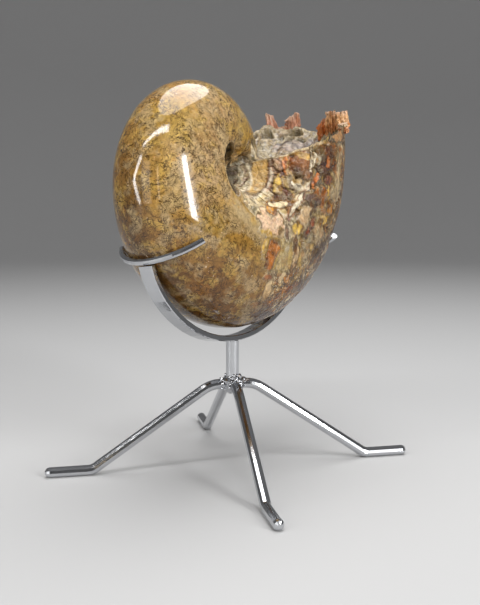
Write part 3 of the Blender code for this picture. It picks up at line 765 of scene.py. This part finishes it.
def build_ammonite(material):
    first_open = EXPOSED_FROM - EXPOSED_SWEEP - OPEN_ROWS_EARLY
    turns = np.concatenate([np.linspace(0, first_open, POLISHED_ROWS, endpoint=False),
                            np.linspace(first_open, LAST_TURN, OPEN_ROWS)])
    sides = np.concatenate([np.linspace(-1, -FAR_RIM_REACH, FAR_COLUMNS, endpoint=False),
                            np.linspace(-FAR_RIM_REACH, 0, FAR_RIM_COLUMNS, endpoint=False),
                            np.linspace(0, 1, NEAR_COLUMNS + 1)])
    shell = shell_surface(*np.meshgrid(turns, sides, indexing="ij"))
    shares = np.linspace(0, 1, SEPTUM_ROWS + 2)[1:-1] ** SEPTUM_CROWDING
    septum = septum_surface(*np.meshgrid(shares, sides, indexing="ij"),
                            shell[0][-1][None], shell[0][0][None])
    shell = [np.concatenate(two) for two in zip(shell, septum)]

    far_floor, near_floor = [COIL_CENTRE + AXIS * (way * UMBILICUS_FLOOR) for way in (-1, 1)]
    far = [part[:, ::-1] for part in umbilicus(shell[0][:, 0], far_floor)]
    near = umbilicus(shell[0][:, -1], near_floor)
    points, tint, exposed, plain = [np.concatenate(three, axis=1).swapaxes(0, 1)
                                    for three in zip(far, shell, near)]
    bm = bmesh.new()
    rings = add_rings(bm, points.tolist())
    add_tip(bm, rings[0], far_floor)
    add_tip(bm, rings[-1], near_floor)
    piece = from_bmesh(bm, "ammonite_shell", material, sharp=50)
    # the umbilici's floor tips are painted dark, as shadow
    set_attribute(piece, "tint", "FLOAT_COLOR", tint, (UMBER, UMBER))
    set_attribute(piece, "exposed", "FLOAT", exposed, (1.0, 1.0))
    set_attribute(piece, "plain", "FLOAT", plain, (1.0, 1.0))
    return piece


def build_crystal(name, material, side, inset, length, width, depth, lean, top, slant, colour):
    """A broken calcite crystal on the rim: striped faces and a jagged, slanting top."""
    along, edge = forward_at(LAST_TURN), shell_point(LAST_TURN, side)
    place = edge - shell_normal(LAST_TURN, side) * inset
    across = unit(shell_point(LAST_TURN, side + 0.01) - edge)
    inwards = unit(np.cross(along, across))
    seed = side * 50

    angle = np.arange(CRYSTAL_SIDES) * 2 * pi / CRYSTAL_SIDES
    sink = CRYSTAL_SINK + 1.6 * max(0.0, inset)
    climb = np.linspace(-sink / length, 1.0, CRYSTAL_STEPS)[:, None]
    facet = (angle + seed) % (2 * pi / CRYSTAL_FACES) - pi / CRYSTAL_FACES
    outline = cos(pi / CRYSTAL_FACES) / np.cos(facet)
    rib = 0.22 * noise_at(angle * 4.0, seed, 0.5) + 0.12 * noise_at(angle * 9.0, seed, 1.5)
    chips = 0.3 * noise_at(np.cos(angle) * 2.5, np.sin(angle) * 2.5, climb * 5.0 + seed)
    size = (1 + (top - 1) * np.maximum(climb, 0.0)) * (outline + rib + chips)
    jag = 0.2 * noise_at(np.cos(angle) * 3.0, np.sin(angle) * 3.0, seed + 7.0)
    jagged = length * jag + slant * width * np.cos(angle)
    height = length * climb + np.maximum(climb, 0.0) ** 3 * jagged
    offset = across * (np.cos(angle) * width * size)[..., None]
    offset = offset + inwards * (np.sin(angle) * depth * size)[..., None]
    points = place + (along + across * lean) * height[..., None] + offset

    bm = bmesh.new()
    rings = add_rings(bm, points.tolist())
    add_tip(bm, rings[-1], points[-1].mean(axis=0) - along * length * 0.08)
    bm.faces.new(rings[0])
    piece = from_bmesh(bm, name, material, sharp=32)

    shade = noise_at(angle * 3.0, climb * 1.5, seed + 3.0)
    tint = paint(filled(points, colour), (BRICK, ramp(shade, 0.08, 0.2) * 0.65),
                 (PINK, smooth((climb - 0.55) / 0.5 - shade) * 0.8),
                 (ORANGE_RED, ramp(climb, 0.25, -0.3) * 0.6))
    set_attribute(piece, "tint", "FLOAT_COLOR", tint, PINK)
    stripe = np.stack(np.broadcast_arrays(angle * width, height * 0.12, seed), axis=-1)
    set_attribute(piece, "stripe", "FLOAT_VECTOR", stripe, stripe[-1, 0])
    return piece


def bead_spots():
    """Round the foot of the post, then over the root of each leg."""
    up = Vector((0.0, 0.0, 1.0))
    for step in range(POST_BEADS):
        turn = 2 * pi * step / POST_BEADS
        out = Vector((cos(turn), sin(turn), 0.0)) * POST_BEADS_AT
        yield out + up * (HUB_HEIGHT + POST_BEADS_RISE)
    for index in range(LEGS):
        turn = FIRST_LEG + index * 2 * pi / LEGS
        leg = Vector((cos(turn), sin(turn), 0.0))
        sideways = leg.cross(up)
        for step in range(LEG_BEADS):
            turn = radians(LEG_BEADS_REACH * (2 * step / (LEG_BEADS - 1) - 1))
            round_leg = (sideways * sin(turn) + up * cos(turn)) * LEG_BEADS_AT
            yield leg * LEG_BEADS_OUT + round_leg + up * HUB_HEIGHT


def build_weld_beads(material):
    """Small blobs of weld round the hub."""
    bm = bmesh.new()
    for index, spot in enumerate(bead_spots()):
        wander = Vector([noise.noise(Vector((index * 3.7, axis * 5.3, 0.5))) for axis in range(3)])
        size = BEAD_RADIUS * (1 + 0.9 * wander.x)
        for vertex in bmesh.ops.create_icosphere(bm, subdivisions=3, radius=1.0)["verts"]:
            lump = 1 + 0.25 * noise.noise(vertex.co * 1.6 + spot * 900)
            vertex.co = spot + wander * 1.2 * MM + vertex.co * size * lump
    return from_bmesh(bm, "weld_beads", material, sharp=60)


# Each crystal's side, inset, length, half width and half depth, lean, how much of its width is
# left at the top, how much the top slants, and colour.
CRYSTALS = (
    ("horn_left", -0.152, -0.0026, 0.0178, 0.007, 0.0038, 0.02, 0.46, -0.25, ROSE),
    ("horn_right", -0.068, -0.0026, 0.0125, 0.0072, 0.004, 0.12, 0.98, 0.35, ROSE),
    ("horn_saddle", -0.115, -0.0026, 0.0052, 0.0085, 0.0032, 0.0, 0.8, 0.0, BRICK),
    ("crest_foot", 0.122, 0.0066, 0.003, 0.0054, 0.0052, 0.3, 0.4, 0.5, ORANGE_RED),
    ("crest_broad", 0.245, -0.0008, 0.0105, 0.0062, 0.006, 0.22, 0.92, 0.1, RUST),
    ("crest_tall", 0.174, 0.0042, 0.0112, 0.0066, 0.0056, 0.42, 0.84, 0.1, RUST),
    ("crest_side", 0.335, 0.001, 0.003, 0.0056, 0.0046, 0.05, 0.85, 0.0, PALE_TAN),
)


# ---------------- materials
class Nodes:
    """A short way to write a material's nodes."""

    def __init__(self, name):
        self.material = bpy.data.materials.new(name)
        self.material.use_nodes = True
        self.tree = self.material.node_tree
        self.surface = self.tree.nodes["Principled BSDF"]
        self.where = self.add("TexCoord", {}).outputs["Object"]

    def add(self, kind, inputs, **settings):
        node = self.tree.nodes.new("ShaderNode" + kind)
        for key, value in settings.items():
            setattr(node, key, value)
        for key, value in inputs.items():
            self.put(node.inputs[key], value)
        return node

    def put(self, socket, value):
        if isinstance(value, bpy.types.NodeSocket):
            self.tree.links.new(value, socket)
        else:
            socket.default_value = value

    def attribute(self, name, output="Fac"):
        return self.add("Attribute", {}, attribute_name=name).outputs[output]

    def math(self, operation, first, second=0.0):
        return self.add("Math", {0: first, 1: second}, operation=operation).outputs[0]

    def mul(self, first, second):
        return self.math("MULTIPLY", first, second)

    def vector(self, operation, first, second):
        """Vectors added or multiplied, or one scaled by a number."""
        key = "Scale" if operation == "SCALE" else 1
        return self.add("VectorMath", {0: first, key: second}, operation=operation).outputs[0]

    def noise(self, size, detail=3.0, roughness=0.55, distortion=0.0, where=None, output="Fac"):
        """Noise with features of the given size, in metres."""
        node = self.add("TexNoise", {"Vector": where or self.where, "Scale": 1 / size,
                                     "Detail": detail, "Roughness": roughness,
                                     "Distortion": distortion})
        return node.outputs[output]

    def cells(self, where, size, feature="F1"):
        return self.add("TexVoronoi", {"Vector": where, "Scale": 1 / size}, feature=feature).outputs

    def span(self, value, low, high, start=0.0, end=1.0):
        """The value carried from its own range, start to end, to the range low to high."""
        node = self.add("MapRange", {"Value": value, "From Min": start, "From Max": end,
                                     "To Min": low, "To Max": high})
        return node.outputs["Result"]

    def step(self, value, low, high):
        """0 below low, 1 above high, smooth between."""
        node = self.add("MapRange", {"Value": value, "From Min": low, "From Max": high},
                        interpolation_type="SMOOTHSTEP")
        return node.outputs["Result"]

    def line(self, value, width):
        """1 where a value is close to a half, falling to 0 at the width on each side."""
        return self.step(self.math("ABSOLUTE", self.math("SUBTRACT", value, 0.5)), width, 0.0)

    def blend(self, first, second, weight, by=None):
        """One colour turning into another by a weight, or by a weight times a second one."""
        if by is not None:
            weight = self.mul(weight, by)
        node = self.add("Mix", {}, data_type="RGBA")
        for index, value in ((0, weight), (6, first), (7, second)):
            self.put(node.inputs[index], (*value, 1.0) if isinstance(value, tuple) else value)
        return node.outputs[2]

    def coats(self, colour, *coats):
        """Colours blended in, in turn."""
        for coat in coats:
            colour = self.blend(colour, *coat)
        return colour

    def finish(self, height, strength, depth):
        """Small relief by a bump of so many metres; the material."""
        bump = self.add("Bump", {"Height": height, "Strength": strength, "Distance": depth})
        self.put(self.surface.inputs["Normal"], bump.outputs[0])
        return self.material


def suture_marks(n, plain):
    """The dark curling threads of the sutures, in patches, and dark specks."""
    loops = n.line(n.noise(0.0125, 4.0, 0.6, 0.9), 0.024)
    curls = n.line(n.noise(0.0078, 3.0, 0.6, 1.2), 0.034)
    hooks = n.line(n.noise(0.0056, 2.5, 0.6, 1.6), 0.05)
    bare = n.step(n.noise(0.03, 3.0, 0.6), 0.66, 0.52)
    patchy = n.mul(bare, n.step(n.noise(0.01), 0.44, 0.54))
    sparse = n.mul(bare, n.step(n.noise(0.0065, 3.0, 0.6), 0.48, 0.53))
    speck = n.step(n.noise(0.002, 2.0, 0.6), 0.66, 0.72)
    marks = n.math("MAXIMUM", n.mul(loops, 0.7), n.mul(n.mul(curls, patchy), 0.95))
    marks = n.math("MAXIMUM", marks, n.mul(n.mul(hooks, sparse), 0.95))
    marks = n.math("MAXIMUM", marks, n.mul(speck, 0.7))
    return n.mul(marks, n.math("SUBTRACT", 1.0, plain))


def polished_stone(n, tint, grain, marks):
    """The polished shell's colour: blotches, grain, sutures, and pale flecks that are painted
    glints.
    """
    blotch = n.noise(0.01, 5.0, 0.6, 0.4)
    polish = n.coats(
        tint, (OCHRE, 0.15), (BRIGHT_OCHRE, n.step(blotch, 0.5, 0.62), 0.5),
        (DULL_BROWN, n.step(blotch, 0.46, 0.36), 0.45),
        (WARM_OCHRE, n.step(n.noise(0.005, 4.0, 0.6), 0.58, 0.68), 0.35),
        (GREY_TAN, n.step(n.noise(0.016, 4.0, 0.6), 0.48, 0.62), 0.55))
    polish = n.vector("SCALE", polish, n.span(grain, 0.62, 1.38, 0.3, 0.7))
    # pale flecks in patches: painted glints
    flecks = n.step(n.noise(0.0015, 2.0, 0.6), 0.68, 0.72)
    flecks = n.mul(flecks, n.step(n.noise(0.022, 2.0), 0.52, 0.62))
    return n.coats(polish, (SUTURE_DARK, marks), (PAINTED_GLINT_FLECK, flecks, 0.8))


def open_stone(n, tint, plain, coarse):
    """The laid-open chambers, small crystals, cream walls, crevices and painted glints: colour and
    relief.
    """
    rough = n.math("SUBTRACT", 1.0, plain)
    wander = n.vector("SCALE", n.noise(0.007, roughness=0.5, output="Color"), 0.01)
    bent = n.vector("ADD", n.where, wander)
    cell = n.add("SeparateColor", {0: n.cells(bent, CELL)["Color"]}).outputs
    border = n.cells(bent, CELL, "DISTANCE_TO_EDGE")["Distance"]
    facets = n.cells(n.where, FACET)
    shade = n.add("SeparateColor", {0: facets["Color"]}).outputs[0]
    stone = n.coats(tint, (AMBER_CELL, n.mul(n.step(cell[0], 0.78, 0.82), 0.6), rough),
                    (CREAM_CELL, n.mul(n.step(cell[0], 0.24, 0.2), 0.6), rough),
                    (DARK_CELL, n.mul(n.step(cell[1], 0.76, 0.8), 0.6), rough))
    uneven = n.math("ADD", n.span(coarse, -0.65, 0.65, 0.3, 0.7), n.span(shade, -0.3, 0.3))
    uneven = n.mul(uneven, n.math("ADD", n.mul(rough, 0.6), 0.4))
    stone = n.vector("SCALE", stone, n.math("ADD", uneven, 1.0))
    wall = n.mul(n.line(n.noise(0.01, 5.0, 0.6, 0.4), 0.02), 0.75)
    crevice = n.mul(n.step(border, 0.1, 0.03), 0.6)
    pit = n.mul(n.step(n.noise(0.0036, 4.0, 0.7), 0.57, 0.66), 0.8)
    # painted glints: small bright specks
    glint = n.step(n.noise(0.0016, 3.0, 0.65), 0.64, 0.7)
    stone = n.coats(stone, (WALL_CREAM, wall, rough),
                    (CREVICE_DARK, n.math("MAXIMUM", crevice, pit), rough),
                    (PAINTED_GLINT, glint, n.math("ADD", n.mul(rough, 0.45), 0.15)))
    relief = n.math("ADD", coarse, n.mul(facets["Distance"], 0.7))
    return stone, n.math("ADD", relief, n.mul(n.step(border, 0.0, 0.15), 0.5))


def stone_material():
    n = Nodes("fossil_stone_fine")
    tint = n.attribute("tint", "Color")
    exposed, plain = n.attribute("exposed"), n.attribute("plain")
    grain, coarse = n.noise(0.003, 5.0, 0.7), n.noise(0.0045, 6.0, 0.68)
    marks = suture_marks(n, plain)
    laid_open, relief = open_stone(n, tint, plain, coarse)
    colour = n.blend(polished_stone(n, tint, grain, marks), laid_open, exposed)
    n.put(n.surface.inputs["Base Color"], n.vector("MULTIPLY", colour, STONE_SHADE))
    roughness = n.add("Mix", {0: exposed, 2: n.span(grain, 0.025, 0.055),
                              3: n.span(coarse, 0.1, 0.34)}, data_type="FLOAT")
    n.put(n.surface.inputs["Roughness"], roughness.outputs[0])
    n.surface.inputs["IOR"].default_value = 1.52
    relief = n.math("ADD", n.mul(relief, exposed), n.mul(marks, -0.012))
    return n.finish(relief, 0.5, 0.0012)


def calcite_material():
    n = Nodes("calcite_fine")
    streak = n.noise(0.0011, 4.0, 0.6, where=n.attribute("stripe", "Vector"))
    grain = n.noise(0.0022, 5.0, 0.7)
    colour = n.vector("SCALE", n.attribute("tint", "Color"), n.span(streak, 0.45, 1.6, 0.3, 0.7))
    colour = n.coats(colour, (CALCITE_PALE, n.step(grain, 0.56, 0.68), 0.55),
                     (CALCITE_DARK, n.step(grain, 0.45, 0.33), 0.7))
    n.put(n.surface.inputs["Base Color"], colour)
    n.put(n.surface.inputs["Roughness"], n.span(grain, 0.15, 0.45))
    return n.finish(n.math("ADD", streak, n.mul(grain, 0.7)), 0.7, 0.001)


def chrome_material():
    n = Nodes("chromed_steel_fine")
    haze, spots = n.noise(0.02, 4.0), n.step(n.noise(0.0015, 4.0, 0.6), 0.6, 0.75)
    colour = n.coats(CHROME, (CHROME_DULL, haze), (CHROME_SPOT, spots, 0.25))
    n.put(n.surface.inputs["Base Color"], colour)
    n.surface.inputs["Metallic"].default_value = 1.0
    rough = n.math("ADD", n.span(haze, 0.03, 0.13), n.mul(spots, 0.15))
    n.put(n.surface.inputs["Roughness"], rough)
    return n.finish(n.noise(0.004), 0.12, 0.0003)


def floor_material():
    n = Nodes("floor_paint")
    n.surface.inputs["Base Color"].default_value = (0.46, 0.46, 0.46, 1.0)
    n.surface.inputs["Roughness"].default_value = 0.7
    return n.material


# ---------------- light, floor, camera
def aim(thing, target):
    thing.rotation_mode = "QUATERNION"
    thing.rotation_quaternion = (Vector(target) - thing.location).to_track_quat("-Z", "Y")


def toward(azimuth, elevation):
    """A direction, so many degrees round from +Y towards +X and above level."""
    a, e = radians(azimuth), radians(elevation)
    return Vector((sin(a) * cos(e), cos(a) * cos(e), sin(e)))


def add_light(name, azimuth, elevation, distance, size, power, roll=0.0, shape="RECTANGLE",
              colour=(1.0, 1.0, 1.0)):
    """A soft light in that direction from the fossil, aimed at it and turned by its roll."""
    data = bpy.data.lights.new(name, "AREA")
    data.shape = shape
    data.size, data.size_y = size
    data.energy, data.color = power, colour
    lamp = bpy.data.objects.new(name, data)
    centre = Vector(LIT_FROM)
    lamp.location = centre + toward(azimuth, elevation) * distance
    aim(lamp, centre)
    lamp.rotation_quaternion @= Quaternion((0.0, 0.0, 1.0), radians(roll))
    lamp.visible_camera = False
    bpy.context.collection.objects.link(lamp)


def arc_direction(share):
    """Along the curved lamp: round from the viewer's left, up and over to the right."""
    return -127 - 75 * share ** 1.3, 42 + 20.5 * sin(min(1.0, 1.25 * share) * pi / 2)


def build_arc_lamp():
    """A curved strip of short lamps, each wider and brighter than the last."""
    for step in range(ARC_LAMPS):
        share = (step + 0.5) / ARC_LAMPS
        azimuth, elevation = arc_direction(share)
        on_azimuth, on_elevation = arc_direction(share + 0.01)
        climb = atan2(on_elevation - elevation, (azimuth - on_azimuth) * cos(radians(elevation)))
        add_light(f"arc_lamp_{step}", azimuth, elevation, 1.7,
                  (ARC_LENGTH / ARC_LAMPS, 0.07 + 0.17 * share), 0.6 + 1.0 * share,
                  roll=degrees(climb))


def build_lights():
    """Each light's direction, distance, size and power; the strips are what the polish mirrors."""
    add_light("overhead_softbox", 22, 72, 1.3, (1.05, 1.5), 18, shape="ELLIPSE")
    add_light("right_strip", 132, 16, 1.5, (0.21, 1.05), 16, roll=-6)
    add_light("right_glow", 133, 17, 1.6, (0.62, 1.15), 4.5, roll=-6)
    add_light("left_strip_high", -122, 23, 1.6, (0.15, 0.68), 4.5, roll=-30)
    add_light("left_strip_low", -122, 4, 1.6, (0.17, 0.64), 4.5, roll=40)
    add_light("left_glow", -146, 14, 1.7, (0.6, 1.1), 3.0, roll=6)
    add_light("warm_strip", -174, 16, 1.8, (0.1, 0.9), 1.5, colour=(1.0, 0.75, 0.5))
    build_arc_lamp()
    add_light("front_fill", 150, 40, 2.4, (1.6, 1.6), 4)


def studio_profile():
    """The floor's radius and height: level, then curving up all round into a low wall."""
    yield FLOOR_MIDDLE, 0.0
    for step in range(COVE_STEPS + 1):
        angle = pi / 2 * step / COVE_STEPS
        yield FLOOR_RADIUS + COVE_RADIUS * sin(angle), COVE_RADIUS * (1 - cos(angle))
    yield FLOOR_RADIUS + COVE_RADIUS, WALL_HEIGHT


def build_floor():
    around = [2 * pi * index / FLOOR_SIDES for index in range(FLOOR_SIDES)]
    bm = bmesh.new()
    rings = add_rings(bm, [[(radius * cos(angle), radius * sin(angle), height) for angle in around]
                           for radius, height in studio_profile()])
    bm.faces.new(rings[0])
    floor = from_bmesh(bm, "studio_floor", floor_material(), sharp=60)
    floor.location.z = -FLOOR_GAP


def build_air():
    world = bpy.data.worlds.new("studio_air")
    bpy.context.scene.world = world
    world.use_nodes = True
    background = world.node_tree.nodes["Background"]
    background.inputs["Color"].default_value = (0.5, 0.5, 0.51, 1.0)
    background.inputs["Strength"].default_value = 0.36


def build_camera():
    data = bpy.data.cameras.new("view")
    data.lens, data.sensor_width = LENS, SENSOR
    camera = bpy.data.objects.new("view", data)
    camera.location = CAMERA_AT
    aim(camera, CAMERA_TARGET)
    bpy.context.collection.objects.link(camera)
    bpy.context.scene.camera = camera
    bpy.context.scene.view_settings.view_transform = "Standard"


# ---------------- the whole
stone, chrome, calcite = stone_material(), chrome_material(), calcite_material()

ammonite = build_ammonite(stone)
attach(ammonite, BODY)
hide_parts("ammonite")

for crystal_name, *values in CRYSTALS:
    crystal = build_crystal(crystal_name, calcite, *values)
    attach(crystal, BODY)

for name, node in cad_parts.items():
    if name != "ammonite":
        for slot in node.material_slots:
            slot.material = chrome

beads = build_weld_beads(chrome)
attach(beads, BODY)

build_lights()
build_floor()
build_air()
build_camera()
